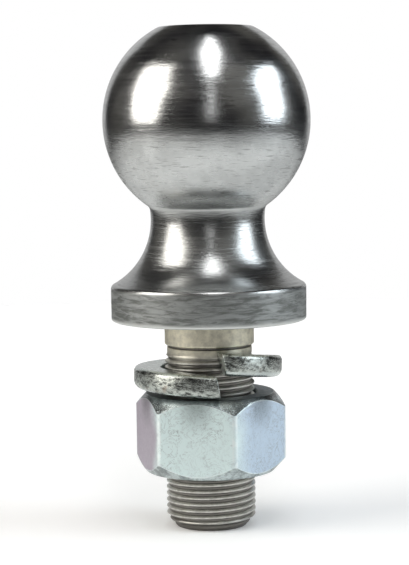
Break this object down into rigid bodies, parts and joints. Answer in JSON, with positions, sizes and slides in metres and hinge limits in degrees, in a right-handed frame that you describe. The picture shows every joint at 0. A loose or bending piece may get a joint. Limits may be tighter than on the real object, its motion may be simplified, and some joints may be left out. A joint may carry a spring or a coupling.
{
  "type": "trailer hitch ball",
  "caption": "Trailer hitch ball: a plated one-piece ball stud with a threaded shank, a split lock washer and a hex nut that screws along it.",
  "frame": {"origin": "centre of the flange's flat underside, where the stud sits on the drawbar", "axes": "+Z along the stud's axis, up through the ball; -Y is the front, where the lock washer is cut"},
  "size_m": [0.0584, 0.0584, 0.1412],
  "materials": {
    "plated_forging": "bright plating, polished with fine turning marks on ball, neck and flange; the shank below is bare, warm grey steel",
    "zinc_spring_steel": "zinc plated, pitted outer edge with brighter rounded corners",
    "zinc_nut": "pale blue-green passivated zinc, satin, with fine scratches and brighter worn edges"
  },
  "bodies": {
    "stud": {"ball_stud": "plated_forging"},
    "washer": {"lock_washer": "zinc_spring_steel"},
    "nut": {"hex_nut": "zinc_nut"}
  },
  "joints": [
    {"name": "nut_travel", "type": "slide", "parent": "stud", "child": "washer", "axis": [0, 0, 1], "range_m": [-0.016, 0.00715]},
    {"name": "nut_turn", "type": "hinge", "parent": "washer", "child": "nut", "pos_m": [0, 0, -0.0318], "axis": [0, 0, 1], "range_deg": [-3160, 1410]}
  ],
  "couplings": [
    {"joint": "nut_travel", "follows": "nut_turn", "m_per_rad": 0.00028876}
  ]
}
